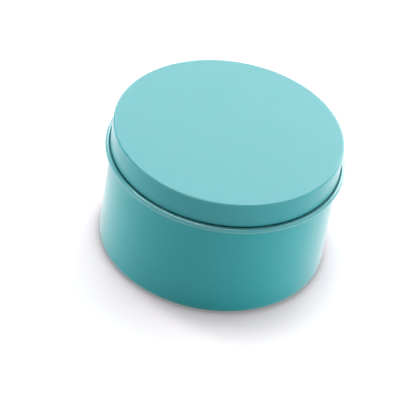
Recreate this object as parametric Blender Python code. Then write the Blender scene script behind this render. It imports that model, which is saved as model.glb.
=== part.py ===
"""Round slip-lid tin, drawn from sheet steel in two pieces.

The body is one drawn shell. Its base panel is raised inside a flat standing ring, its wall is
rolled out into a round bead, and behind the bead the sheet dips into a groove and rises again as
the neck, whose mouth is curled inwards. The lid is a shallow drawn cap whose lower edge is hemmed
inwards. It slips over the neck until its top meets the curled mouth, and its lower edge then
stands over the groove.

Both pieces are revolved from a profile of their outer face, made of tangent arcs and straight
runs. The inner face follows at the thickness of the sheet. Metres, +Z up, origin under the
middle of the standing ring.
"""
import math

import bmesh
import bpy

# Driving dimensions of the closed tin
TOTAL_HEIGHT = 0.0470
BODY_DIAMETER = 0.0761
SHEET_THICKNESS = 0.0003

# Base of the body
CORNER_HOLLOW_RADIUS = 0.00145
RING_WIDTH = 0.0012
BASE_RECESS = 0.0008
BASE_STEP_ANGLE = math.radians(60)

# Round bead just below the lid's lower edge, and how far its back goes over towards the groove
BEAD_PROJECTION = 0.0021
BEAD_HOLLOW_RADIUS = 0.00057
BEAD_DROP = 0.00095
BEAD_BACK_ANGLE = math.radians(145)
BEAD_FILLET_RADIUS = 0.00035

# Neck and mouth, inside the lid
NECK_STEP = 0.00085
MOUTH_HOLLOW_RADIUS = 0.0004
MOUTH_CURL_ANGLE = math.radians(260)
MOUTH_GAP = 0.0003

# Lid
LID_DEPTH = 0.0090
LID_EDGE_HOLLOW_RADIUS = 0.0003
HEM_HOLLOW_RADIUS = 0.0002
HEM_LEG = 0.0008
LID_SIDE_GAP = 0.0003

# Facets
FACETS_AROUND = 72
STEP_FACETS = 3
CORNER_FACETS = 5
FILLET_FACETS = 2
BEAD_FACETS = 8
GROOVE_FACETS = 5
MOUTH_FACETS = 7
LID_EDGE_FACETS = 4
HEM_FACETS = 5
MERGE_DISTANCE = 0.000001
SHARP_ANGLE = math.radians(40)

# Quarter and half turns, for the starts and sweeps of the arcs
QUARTER = math.pi / 2
HALF = math.pi

# Radii of the outer face of each bend, from the hollow inside it
corner_radius = CORNER_HOLLOW_RADIUS + SHEET_THICKNESS
bead_radius = BEAD_HOLLOW_RADIUS + SHEET_THICKNESS
mouth_radius = MOUTH_HOLLOW_RADIUS + SHEET_THICKNESS
lid_edge_radius = LID_EDGE_HOLLOW_RADIUS + SHEET_THICKNESS
hem_radius = HEM_HOLLOW_RADIUS + SHEET_THICKNESS

# Radii of the body, from its axis
wall_radius = BODY_DIAMETER / 2
bead_outer_radius = wall_radius + BEAD_PROJECTION
neck_radius = wall_radius - NECK_STEP

# The lid's skirt stands outside the neck by its side gap and the width of its hem
lid_radius = neck_radius + LID_SIDE_GAP + 2 * hem_radius

# Heights, down from the top of the closed lid
lid_low_height = TOTAL_HEIGHT - LID_DEPTH
bead_middle = lid_low_height - BEAD_DROP
mouth_height = TOTAL_HEIGHT - SHEET_THICKNESS - MOUTH_GAP


def bend(centre, radius, start, sweep, facets, outer_face_outside=True):
    """Points of one bend of the sheet, as (outer face, inner face) pairs along an arc.

    centre is (distance from the axis, height) and radius belongs to the outer face. The inner
    face lies on the smaller arc where the outer face is on the outside of the bend, and on the
    larger one where it is in the hollow of the bend.
    """
    thickness = SHEET_THICKNESS if outer_face_outside else -SHEET_THICKNESS
    pairs = []
    for index in range(facets + 1):
        angle = start + sweep * index / facets
        along, up = math.cos(angle), math.sin(angle)
        outer = (centre[0] + radius * along, centre[1] + radius * up)
        inner_radius = radius - thickness
        inner = (centre[0] + inner_radius * along, centre[1] + inner_radius * up)
        pairs.append((outer, inner))
    return pairs


def body_profile():
    """Sheet of the body, from the middle of the base out, up and in to the curled mouth."""
    # The base steps down to the ring through two equal bends of the middle of the sheet
    step_radius = BASE_RECESS / (2 * (1 - math.cos(BASE_STEP_ANGLE)))
    hollow_radius = step_radius - SHEET_THICKNESS / 2
    foot_radius = step_radius + SHEET_THICKNESS / 2
    ring_inner = wall_radius - corner_radius - RING_WIDTH
    panel_edge = ring_inner - 2 * step_radius * math.sin(BASE_STEP_ANGLE)

    panel = [((0, BASE_RECESS), (0, BASE_RECESS + SHEET_THICKNESS))]
    step_down = bend((panel_edge, BASE_RECESS - hollow_radius), hollow_radius,
                     QUARTER, -BASE_STEP_ANGLE, STEP_FACETS, outer_face_outside=False)
    step_level = bend((ring_inner, foot_radius), foot_radius,
                      -QUARTER - BASE_STEP_ANGLE, BASE_STEP_ANGLE, STEP_FACETS)
    corner = bend((wall_radius - corner_radius, corner_radius), corner_radius,
                  -QUARTER, QUARTER, CORNER_FACETS)

    bead_axis = bead_outer_radius - bead_radius
    below_bead = bend((wall_radius + BEAD_FILLET_RADIUS, bead_middle - bead_radius - BEAD_FILLET_RADIUS),
                      BEAD_FILLET_RADIUS, HALF, -QUARTER, FILLET_FACETS, outer_face_outside=False)
    bead = bend((bead_axis, bead_middle), bead_radius,
                -QUARTER, QUARTER + BEAD_BACK_ANGLE, BEAD_FACETS)

    # The groove is the arc that leaves the back of the bead smoothly and ends upright at the neck
    along, up = math.cos(BEAD_BACK_ANGLE), math.sin(BEAD_BACK_ANGLE)
    groove_radius = (bead_axis + bead_radius * along - neck_radius) / (1 - along)
    reach = bead_radius + groove_radius
    groove = bend((bead_axis + reach * along, bead_middle + reach * up), groove_radius,
                  BEAD_BACK_ANGLE - HALF, -BEAD_BACK_ANGLE, GROOVE_FACETS, outer_face_outside=False)
    mouth_curl = bend((neck_radius - mouth_radius, mouth_height - mouth_radius), mouth_radius,
                      0, MOUTH_CURL_ANGLE, MOUTH_FACETS)
    return panel + step_down + step_level + corner + below_bead + bead + groove + mouth_curl


def lid_profile():
    """Sheet of the lid, from the middle of its top out and down to the hem, with its lower edge
    at height zero."""
    top = [((0, LID_DEPTH), (0, LID_DEPTH - SHEET_THICKNESS))]
    edge = bend((lid_radius - lid_edge_radius, LID_DEPTH - lid_edge_radius), lid_edge_radius,
                QUARTER, -QUARTER, LID_EDGE_FACETS)
    hem_middle = lid_radius - hem_radius
    hem = bend((hem_middle, hem_radius), hem_radius, 0, -HALF, HEM_FACETS)
    leg_end = [((hem_middle - hem_radius, hem_radius + HEM_LEG),
                (hem_middle - HEM_HOLLOW_RADIUS, hem_radius + HEM_LEG))]
    return top + edge + hem + leg_end


def revolve(name, profile, material):
    """One closed shell: the outer face, the edge of the sheet and the inner face, spun round Z."""
    outline = [outer for outer, inner in profile] + [inner for outer, inner in reversed(profile)]
    shape = bmesh.new()
    corners = [shape.verts.new((radius, 0, height)) for radius, height in outline]
    edges = [shape.edges.new(pair) for pair in zip(corners, corners[1:])]
    bmesh.ops.spin(shape, geom=corners + edges, cent=(0, 0, 0), axis=(0, 0, 1),
                   angle=2 * math.pi, steps=FACETS_AROUND)
    bmesh.ops.remove_doubles(shape, verts=shape.verts, dist=MERGE_DISTANCE)
    bmesh.ops.recalc_face_normals(shape, faces=shape.faces)

    mesh = bpy.data.meshes.new(name)
    shape.to_mesh(mesh)
    shape.free()
    mesh.shade_smooth()
    mesh.set_sharp_from_angle(angle=SHARP_ANGLE)
    mesh.materials.append(material)
    piece = bpy.data.objects.new(name, mesh)
    bpy.context.collection.objects.link(piece)
    return piece


def enamel(name, colour, roughness):
    """Opaque stove enamel on steel."""
    material = bpy.data.materials.new(name)
    material.use_nodes = True
    shader = material.node_tree.nodes["Principled BSDF"]
    shader.inputs["Base Color"].default_value = (*colour, 1)
    shader.inputs["Roughness"].default_value = roughness
    shader.inputs["Metallic"].default_value = 0
    return material


def clear_scene():
    for item in list(bpy.data.objects):
        bpy.data.objects.remove(item, do_unlink=True)


def build_tin():
    """The body stands at the origin. The lid's own origin is on the axis it lifts along, at the
    height of its lower edge, and it is carried by the body."""
    body = revolve("tin_body", body_profile(), enamel("body_enamel", (0.055, 0.400, 0.420), 0.30))
    lid = revolve("tin_lid", lid_profile(), enamel("lid_enamel", (0.065, 0.420, 0.440), 0.35))
    lid.parent = body
    lid.location = (0, 0, lid_low_height)


clear_scene()
build_tin()
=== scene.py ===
"""Looks of the round slip-lid tin: two finely turned sheet-steel shells, enamelled outside and bare
tinplate inside, on a white floor in white surroundings.

The shells repeat the CAD's profile at a finer pitch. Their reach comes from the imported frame, and
the radii of the bends are the CAD's own. Metres, +Z up, origin under the middle of the tin.
"""
import math

import bmesh
import bpy
from mathutils import Matrix, Vector


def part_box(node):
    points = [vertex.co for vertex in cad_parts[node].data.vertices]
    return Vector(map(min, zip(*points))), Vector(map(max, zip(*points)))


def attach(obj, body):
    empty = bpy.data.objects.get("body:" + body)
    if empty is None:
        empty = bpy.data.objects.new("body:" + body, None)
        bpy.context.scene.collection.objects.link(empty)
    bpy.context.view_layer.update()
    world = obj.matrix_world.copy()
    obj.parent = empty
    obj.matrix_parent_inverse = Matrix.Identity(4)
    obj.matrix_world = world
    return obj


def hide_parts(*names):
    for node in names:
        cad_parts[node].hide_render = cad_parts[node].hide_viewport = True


QUARTER = math.pi / 2
HALF = math.pi

# Sheet and bends of the body, each radius that of the outer face
SHEET_THICKNESS = 0.0003
CORNER_RADIUS = 0.00175
RING_WIDTH = 0.0012
BASE_RECESS = 0.0008
BASE_STEP_ANGLE = math.radians(60)
BEAD_PROJECTION = 0.0021
BEAD_RADIUS = 0.00087
BEAD_DROP = 0.00095
BEAD_BACK_ANGLE = math.radians(145)
BEAD_FILLET_RADIUS = 0.00035
NECK_STEP = 0.00085
MOUTH_RADIUS = 0.0007
MOUTH_CURL_ANGLE = math.radians(260)

# Bends of the lid
LID_EDGE_RADIUS = 0.0006
HEM_RADIUS = 0.0005
HEM_LEG = 0.0008

# Fineness of the turned shells. A flat stretch longer than LONG_FLAT gets a ring near each end.
AROUND = 192
ARC_PITCH = math.radians(9)
FLAT_MARGIN = 0.0004
LONG_FLAT = 4 * FLAT_MARGIN
AXIS_RADIUS = 0.000001
SHARP_ANGLE = math.radians(40)

# How much a bend of the sheet gets the glossier coat and a paler colour painted as highlight, where
# a flat stretch has 0 and the top of the bead has 1
BEND_HIGHLIGHT_AND_COAT = 0.2


class Sheet:
    """A bent sheet as pairs of points, outer face and inner face, each (distance from the axis,
    height), with how much glossier coat and painted highlight the enamel has there."""

    def __init__(self):
        self.pairs = []

    def add(self, outer, inner, highlight_and_coat=0.0):
        self.pairs.append((outer, inner, highlight_and_coat))

    def bend(self, centre, radius, start, sweep, outer_face_outside=True,
             highlight_and_coat=BEND_HIGHLIGHT_AND_COAT, highlight_and_coat_on_top=0.0):
        """One arc of the sheet. radius belongs to the outer face. The share given for the top adds
        glossier coat and a paler painted highlight where the arc faces up, and none where it faces
        down."""
        thickness = SHEET_THICKNESS if outer_face_outside else -SHEET_THICKNESS
        facets = math.ceil(abs(sweep) / ARC_PITCH)
        for index in range(facets + 1):
            angle = start + sweep * index / facets
            along = math.cos(angle)
            up = math.sin(angle)
            outer = (centre[0] + radius * along, centre[1] + radius * up)
            inner_radius = radius - thickness
            inner = (centre[0] + inner_radius * along, centre[1] + inner_radius * up)
            self.add(outer, inner, highlight_and_coat + highlight_and_coat_on_top * (1 + up) / 2)

    def outline(self):
        """The closed outline: (point, how much glossier coat and painted highlight, is it the outer
        face).
        """
        outer = [(pair[0], pair[2], True) for pair in self.pairs]
        inner = [(pair[1], pair[2], False) for pair in reversed(self.pairs)]
        return with_margins(outer) + with_margins(inner)


def with_margins(points):
    """Adds a ring close to each end of a long flat stretch, so that the flat shades flat."""
    result = [points[0]]
    for before, after in zip(points, points[1:]):
        start = Vector(before[0])
        end = Vector(after[0])
        run = end - start
        if run.length > LONG_FLAT:
            inset = run.normalized() * FLAT_MARGIN
            result.append((tuple(start + inset), 0.0, before[2]))
            result.append((tuple(end - inset), 0.0, before[2]))
        result.append(after)
    return result


def body_sheet(bead_outer_radius, mouth_height, lid_low_height):
    """Sheet of the body, from the middle of the base out, up and in to the curled mouth."""
    wall_radius = bead_outer_radius - BEAD_PROJECTION
    neck_radius = wall_radius - NECK_STEP

    # The base steps down to the ring through two equal bends of the middle of the sheet
    step_radius = BASE_RECESS / (2 * (1 - math.cos(BASE_STEP_ANGLE)))
    hollow_radius = step_radius - SHEET_THICKNESS / 2
    foot_radius = step_radius + SHEET_THICKNESS / 2
    ring_inner = wall_radius - CORNER_RADIUS - RING_WIDTH
    panel_edge = ring_inner - 2 * step_radius * math.sin(BASE_STEP_ANGLE)

    sheet = Sheet()
    sheet.add((0, BASE_RECESS), (0, BASE_RECESS + SHEET_THICKNESS))
    sheet.bend((panel_edge, BASE_RECESS - hollow_radius), hollow_radius,
               QUARTER, -BASE_STEP_ANGLE, outer_face_outside=False)
    sheet.bend((ring_inner, foot_radius), foot_radius, -QUARTER - BASE_STEP_ANGLE, BASE_STEP_ANGLE)
    sheet.bend((wall_radius - CORNER_RADIUS, CORNER_RADIUS), CORNER_RADIUS, -QUARTER, QUARTER)

    bead_middle = lid_low_height - BEAD_DROP
    fillet_middle = bead_middle - BEAD_RADIUS - BEAD_FILLET_RADIUS
    sheet.bend((wall_radius + BEAD_FILLET_RADIUS, fillet_middle), BEAD_FILLET_RADIUS,
               HALF, -QUARTER, outer_face_outside=False)
    bead_axis = bead_outer_radius - BEAD_RADIUS
    # The bead's top gets the glossier coat and a paler colour painted as highlight, most where it
    # faces up
    sheet.bend((bead_axis, bead_middle), BEAD_RADIUS, -QUARTER, QUARTER + BEAD_BACK_ANGLE,
               highlight_and_coat=0, highlight_and_coat_on_top=1)

    # The groove is the arc that leaves the back of the bead smoothly and ends upright at the neck
    along = math.cos(BEAD_BACK_ANGLE)
    groove_radius = (bead_axis + BEAD_RADIUS * along - neck_radius) / (1 - along)
    reach = BEAD_RADIUS + groove_radius
    groove_middle = (bead_axis + reach * along, bead_middle + reach * math.sin(BEAD_BACK_ANGLE))
    sheet.bend(groove_middle, groove_radius, BEAD_BACK_ANGLE - HALF, -BEAD_BACK_ANGLE,
               outer_face_outside=False)
    sheet.bend((neck_radius - MOUTH_RADIUS, mouth_height - MOUTH_RADIUS), MOUTH_RADIUS,
               0, MOUTH_CURL_ANGLE)
    return sheet


def lid_sheet(lid_radius, lid_low_height, top_height):
    """Sheet of the lid, from the middle of its top out and down to the hem."""
    sheet = Sheet()
    sheet.add((0, top_height), (0, top_height - SHEET_THICKNESS))
    sheet.bend((lid_radius - LID_EDGE_RADIUS, top_height - LID_EDGE_RADIUS), LID_EDGE_RADIUS,
               QUARTER, -QUARTER)
    hem_middle = lid_radius - HEM_RADIUS
    sheet.bend((hem_middle, lid_low_height + HEM_RADIUS), HEM_RADIUS, 0, -HALF)
    leg_top = lid_low_height + HEM_RADIUS + HEM_LEG
    sheet.add((hem_middle - HEM_RADIUS, leg_top),
              (hem_middle - HEM_RADIUS + SHEET_THICKNESS, leg_top))
    return sheet


def turned(name, sheet, outside, inside):
    """The sheet turned round Z into one closed mesh, its outer face in the first material and its
    inner face and cut edge in the second."""
    outline = sheet.outline()
    angles = [2 * math.pi * index / AROUND for index in range(AROUND)]
    shape = bmesh.new()
    highlight_and_coat_layer = shape.verts.layers.float.new("highlight_and_coat")
    rings = []
    for (radius, height), highlight_and_coat, _ in outline:
        if radius < AXIS_RADIUS:
            ring = [shape.verts.new((0, 0, height))] * AROUND
        else:
            ring = []
            for angle in angles:
                place = (radius * math.cos(angle), radius * math.sin(angle), height)
                ring.append(shape.verts.new(place))
        for corner in ring:
            corner[highlight_and_coat_layer] = highlight_and_coat
        rings.append(ring)

    for low, high, before, after in zip(rings, rings[1:], outline, outline[1:]):
        both_outer = before[2] and after[2]
        for index in range(AROUND):
            following = (index + 1) % AROUND
            loop = [low[index], low[following], high[following], high[index]]
            face = shape.faces.new(list(dict.fromkeys(loop)))
            face.smooth = True
            face.material_index = 0 if both_outer else 1
    bmesh.ops.recalc_face_normals(shape, faces=shape.faces)

    mesh = bpy.data.meshes.new(name)
    shape.to_mesh(mesh)
    shape.free()
    mesh.materials.append(outside)
    mesh.materials.append(inside)
    mesh.set_sharp_from_angle(angle=SHARP_ANGLE)
    piece = bpy.data.objects.new(name, mesh)
    bpy.context.collection.objects.link(piece)
    return piece


# Sockets of a colour mix, which share their names with those of the other kinds of mix
MIX_FIRST = 6
MIX_SECOND = 7
MIX_RESULT = 2

# A noise's value stays mostly between these
NOISE_LOW = 0.3
NOISE_HIGH = 0.7


class Nodes:
    """Short hand for building the nodes of one material or world."""

    def __init__(self, owner, shader="Principled BSDF"):
        owner.use_nodes = True
        self.tree = owner.node_tree
        self.shader = self.tree.nodes[shader]

    def add(self, kind, **settings):
        node = self.tree.nodes.new(kind)
        for key, value in settings.items():
            setattr(node, key, value)
        return node

    def link(self, source, target):
        self.tree.links.new(source, target)

    def feed(self, source, socket):
        """Leads a value into one of the shader's sockets."""
        self.link(source, self.shader.inputs[socket])

    def set(self, **values):
        """Sets the shader's own sockets, their names with _ for a space."""
        for key, value in values.items():
            self.shader.inputs[key.replace("_", " ")].default_value = value

    def place(self):
        """Place in the object's own metres."""
        return self.add("ShaderNodeTexCoord").outputs["Object"]

    def noise(self, place, scale, detail, roughness=0.5):
        node = self.add("ShaderNodeTexNoise")
        node.inputs["Scale"].default_value = scale
        node.inputs["Detail"].default_value = detail
        node.inputs["Roughness"].default_value = roughness
        self.link(place, node.inputs["Vector"])
        return node.outputs["Fac"]

    def stretched(self, value, low, high, from_low=NOISE_LOW, from_high=NOISE_HIGH):
        node = self.add("ShaderNodeMapRange")
        node.inputs["From Min"].default_value = from_low
        node.inputs["From Max"].default_value = from_high
        node.inputs["To Min"].default_value = low
        node.inputs["To Max"].default_value = high
        self.link(value, node.inputs["Value"])
        return node.outputs["Result"]

    def mixed(self, factor, first, second):
        """Colour mix. first and second are colours or sockets."""
        node = self.add("ShaderNodeMix", data_type="RGBA")
        self.link(factor, node.inputs["Factor"])
        for index, value in ((MIX_FIRST, first), (MIX_SECOND, second)):
            if isinstance(value, tuple):
                node.inputs[index].default_value = (*value, 1)
            else:
                self.link(value, node.inputs[index])
        return node.outputs[MIX_RESULT]

    def ramp(self, value, stops):
        node = self.add("ShaderNodeValToRGB")
        elements = node.color_ramp.elements
        while len(elements) < len(stops):
            elements.new(0.5)
        for element, (position, colour) in zip(elements, stops):
            element.position = position
            element.color = (*colour, 1)
        self.link(value, node.inputs["Fac"])
        return node.outputs["Color"]

    def maths(self, operation, first, second):
        """Sum or product of two values, kept within 0 and 1."""
        node = self.add("ShaderNodeMath", operation=operation, use_clamp=True)
        self.link(first, node.inputs[0])
        self.link(second, node.inputs[1])
        return node.outputs[0]

    def bump(self, height, distance):
        node = self.add("ShaderNodeBump")
        node.inputs["Distance"].default_value = distance
        self.link(height, node.inputs["Height"])
        return node.outputs["Normal"]

    def seen_rays(self):
        """1 for rays from the camera, off glossy surfaces and through glass, otherwise 0."""
        path = self.add("ShaderNodeLightPath")
        total = path.outputs["Is Camera Ray"]
        for name in ("Is Glossy Ray", "Is Transmission Ray"):
            total = self.maths("ADD", total, path.outputs[name])
        return total


# Enamel of the two pieces: its plain colour, its paler colour painted as highlight on bends, a
# thick colour that its drifts go some of the way towards, the least and most of its roughness, and
# its sheen
BODY_ENAMEL = {
    "plain": (0.008, 0.364, 0.392),
    "highlight_and_coat": (0.030, 0.350, 0.375),
    "thick": (0.004, 0.348, 0.376),
    "roughness": (0.20, 0.25),
    "sheen": 1.0,
}
LID_ENAMEL = {
    # The lid's plain colour is greyer than the body's: a painted sheen that stands in for the lid's
    # lower sheen
    "plain": (0.026, 0.354, 0.388),
    "highlight_and_coat": (0.070, 0.372, 0.401),
    "thick": (0.022, 0.338, 0.372),
    "roughness": (0.21, 0.26),
    "sheen": 0.5,
}
ENAMEL_IOR = 1.42
SHEEN_ROUGHNESS = 0.34
RUBBED_COAT_IOR = 1.7
RUBBED_COAT_ROUGHNESS = 0.15

# Patterns of the enamel, with the scales of their noise. MOST_DRIFT is how far the colour goes
# from plain, at 0, towards thick, at 1.
DRIFT_SCALE = 55
MOST_DRIFT = 0.35
GLOSS_SCALE = 180
PEEL_SCALE = 700
PEEL_HEIGHT = 0.000004

# Bare tinplate, with the lines of its rolling drawn out along X
TINPLATE_DARK = (0.66, 0.655, 0.64)
TINPLATE_LIGHT = (0.74, 0.735, 0.72)
TINPLATE_ROUGHNESS = (0.24, 0.36)
CLOUD_SCALE = 90
LINE_SCALE = 160
LINE_NARROWING = (1, 24, 24)
LINE_HEIGHT = 0.000002


def enamel(name, look):
    """Stove enamel: fine orange peel, faint drifts of colour and of gloss, and a glossier coat with
    a paler colour painted as highlight on the bends and the bead's top."""
    material = bpy.data.materials.new(name)
    nodes = Nodes(material)
    place = nodes.place()
    drift = nodes.stretched(nodes.noise(place, DRIFT_SCALE, detail=3), 0, MOST_DRIFT)
    highlight_and_coat = nodes.add("ShaderNodeAttribute", attribute_name="highlight_and_coat").outputs["Fac"]
    colour = nodes.mixed(drift, look["plain"], look["thick"])
    # A paler colour on the bends and the bead's top: a painted highlight
    nodes.feed(nodes.mixed(highlight_and_coat, colour, look["highlight_and_coat"]), "Base Color")
    gloss = nodes.noise(place, GLOSS_SCALE, detail=4)
    nodes.feed(nodes.stretched(gloss, *look["roughness"]), "Roughness")
    nodes.feed(nodes.bump(nodes.noise(place, PEEL_SCALE, detail=2), PEEL_HEIGHT), "Normal")
    nodes.feed(highlight_and_coat, "Coat Weight")
    nodes.set(IOR=ENAMEL_IOR)
    nodes.set(Coat_IOR=RUBBED_COAT_IOR, Coat_Roughness=RUBBED_COAT_ROUGHNESS)
    nodes.set(Sheen_Weight=look["sheen"], Sheen_Roughness=SHEEN_ROUGHNESS)
    return material


def tinplate(name):
    """Bare tinned steel with the faint straight lines of its rolling."""
    material = bpy.data.materials.new(name)
    nodes = Nodes(material)
    place = nodes.place()
    grain = nodes.add("ShaderNodeMapping")
    grain.inputs["Scale"].default_value = LINE_NARROWING
    nodes.link(place, grain.inputs["Vector"])
    lines = nodes.noise(grain.outputs["Vector"], LINE_SCALE, detail=4, roughness=0.6)
    clouds = nodes.stretched(nodes.noise(place, CLOUD_SCALE, detail=3), 0, 1)
    nodes.feed(nodes.mixed(clouds, TINPLATE_DARK, TINPLATE_LIGHT), "Base Color")
    nodes.feed(nodes.stretched(lines, *TINPLATE_ROUGHNESS), "Roughness")
    nodes.feed(nodes.bump(lines, LINE_HEIGHT), "Normal")
    nodes.set(Metallic=1.0)
    return material


def make_tin():
    body_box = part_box("tin_body")
    lid_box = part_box("tin_lid")
    bare = tinplate("tinplate")

    sheet = body_sheet(body_box[1].x, body_box[1].z, lid_box[0].z)
    body = turned("tin_body_shell", sheet, enamel("body_enamel_fine", BODY_ENAMEL), bare)
    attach(body, "body")
    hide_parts("tin_body")

    sheet = lid_sheet(lid_box[1].x, lid_box[0].z, lid_box[1].z)
    lid = turned("tin_lid_shell", sheet, enamel("lid_enamel_fine", LID_ENAMEL), bare)
    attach(lid, "lid")
    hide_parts("tin_lid")


# The floor bounces light by its own colour. FLOOR_GLOW is added where it is seen, and between the
# two distances from the tin it rises until floor and white surroundings can't be told apart.
FLOOR_SIZE = 2.0
FLOOR_COLOUR = (0.82, 0.815, 0.83)
FLOOR_GLOW = 0.20
FADE_START = 0.18
FADE_END = 0.50

# The floor as it is seen, with a painted contact shadow: how open it is to the sky within a short
# reach, and its colour there, darker and lilac close to the tin
CONTACT_REACH = 0.02
CONTACT_SAMPLES = 16
FLOOR_PAINTED_SHADOW = (
    (0.50, (0.36, 0.30, 0.32)),
    (0.54, (0.52, 0.44, 0.46)),
    (0.60, (0.80, 0.67, 0.70)),
    (0.67, (0.95, 0.81, 0.845)),
    (0.85, (1.0, 0.90, 0.93)),
    (1.00, (1.0, 0.96, 0.97)),
)
WHITE = (1, 1, 1, 1)


def make_floor():
    material = bpy.data.materials.new("white_floor")
    nodes = Nodes(material)
    nodes.set(Roughness=1.0, Specular_IOR_Level=0.0, Emission_Color=WHITE)
    seen = nodes.seen_rays()

    # The seen floor darkens where the tin closes off its sky: a painted contact shadow
    around = nodes.add("ShaderNodeAmbientOcclusion", samples=CONTACT_SAMPLES)
    around.inputs["Distance"].default_value = CONTACT_REACH
    painted_shadow_colour = nodes.ramp(around.outputs["AO"], FLOOR_PAINTED_SHADOW)
    nodes.feed(nodes.mixed(seen, FLOOR_COLOUR, painted_shadow_colour), "Base Color")

    distance = nodes.add("ShaderNodeVectorMath", operation="LENGTH")
    nodes.link(nodes.place(), distance.inputs[0])
    glow = nodes.stretched(distance.outputs["Value"], FLOOR_GLOW, 1.0, FADE_START, FADE_END)
    nodes.feed(nodes.maths("MULTIPLY", seen, glow), "Emission Strength")

    half = FLOOR_SIZE / 2
    mesh = bpy.data.meshes.new("floor")
    corners = [(-half, -half, 0), (half, -half, 0), (half, half, 0), (-half, half, 0)]
    mesh.from_pydata(corners, [], [(0, 1, 2, 3)])
    mesh.materials.append(material)
    floor = bpy.data.objects.new("floor", mesh)
    bpy.context.collection.objects.link(floor)


def make_world():
    """White wherever it is seen, and no light from it otherwise."""
    world = bpy.data.worlds.new("white")
    bpy.context.scene.world = world
    nodes = Nodes(world, "Background")
    nodes.set(Color=WHITE)
    nodes.feed(nodes.seen_rays(), "Strength")


TIN_MIDDLE = (0, 0, 0.025)
LAMP_DISTANCE = 1.4

# Lamps lower than this, in degrees, light the sides of the tin without showing in its gloss, where
# they would turn the flat lid white for a low camera
LOWEST_IN_GLOSS = 15

# Each lamp's direction from the tin, round from the front and up, half its width and height as
# angles, all in degrees, and its brightness
LAMPS = {
    "left_low": (-105, 9, 21, 8, 11.3),
    "left_front_low": (-60, 9, 21, 8, 1.1),
    "left_back_low": (-150, 9, 21, 8, 0.9),
    "right_low": (105, 9, 21, 8, 8.0),
    "right_front_low": (60, 9, 21, 8, 4.8),
    "right_back": (150, 20, 21, 20, 2.9),
    "right_back_high": (120, 52, 20, 14, 1.3),
    "back": (180, 37, 20, 9, 4.4),
    "overhead_back": (180, 76, 14, 12, 1.8),
    "overhead_left": (-90, 76, 12, 14, 1.0),
    "overhead_strip": (-122, 69, 5, 17, 8.4),
    "overhead_front": (0, 64, 16, 10, 1.4),
}


def across(half_angle):
    """Size of a lamp that reaches this many degrees to each side of its middle."""
    return 2 * LAMP_DISTANCE * math.tan(math.radians(half_angle))


def make_lamp(name, around, up, half_width, half_height, brightness):
    """A soft rectangular lamp that faces the tin. The camera doesn't see it."""
    width = across(half_width)
    height = across(half_height)
    light = bpy.data.lights.new(name, "AREA")
    light.shape = "RECTANGLE"
    light.size = width
    light.size_y = height
    light.energy = brightness * math.pi * width * height

    turn = math.radians(around)
    rise = math.radians(up)
    level = LAMP_DISTANCE * math.cos(rise)
    climb = LAMP_DISTANCE * math.sin(rise)
    place = (level * math.sin(turn), -level * math.cos(turn), TIN_MIDDLE[2] + climb)
    lamp = bpy.data.objects.new(name, light)
    lamp.location = place
    aim = Vector(TIN_MIDDLE) - Vector(place)
    lamp.rotation_euler = aim.to_track_quat("-Z", "Y").to_euler()
    lamp.visible_camera = False
    lamp.visible_glossy = up > LOWEST_IN_GLOSS
    bpy.context.collection.objects.link(lamp)


# Camera of the photograph, found from the outlines of lid, bead and base
CAMERA_PLACE = (-0.00184, -0.79171, 0.66337)
CAMERA_DOWN = math.radians(39.44)
CAMERA_ROLL = math.radians(9.87)
CAMERA_LENS = 260.77
SENSOR_WIDTH = 36


def make_camera():
    lens = bpy.data.cameras.new("photo_camera")
    lens.lens = CAMERA_LENS
    lens.sensor_width = SENSOR_WIDTH
    camera = bpy.data.objects.new("photo_camera", lens)
    tilt = Matrix.Rotation(QUARTER - CAMERA_DOWN, 4, "X")
    roll = Matrix.Rotation(CAMERA_ROLL, 4, "Z")
    camera.matrix_world = Matrix.Translation(CAMERA_PLACE) @ tilt @ roll
    bpy.context.collection.objects.link(camera)
    bpy.context.scene.camera = camera


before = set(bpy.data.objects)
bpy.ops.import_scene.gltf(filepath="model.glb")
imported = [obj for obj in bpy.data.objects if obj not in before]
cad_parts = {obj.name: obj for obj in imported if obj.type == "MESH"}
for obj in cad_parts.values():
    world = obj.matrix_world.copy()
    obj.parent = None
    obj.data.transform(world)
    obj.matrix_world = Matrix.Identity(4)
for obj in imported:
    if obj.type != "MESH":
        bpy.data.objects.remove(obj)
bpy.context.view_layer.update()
bpy.context.scene.view_settings.view_transform = "Standard"
make_camera()
make_tin()
make_floor()
make_world()
for lamp_name, lamp_values in LAMPS.items():
    make_lamp(lamp_name, *lamp_values)
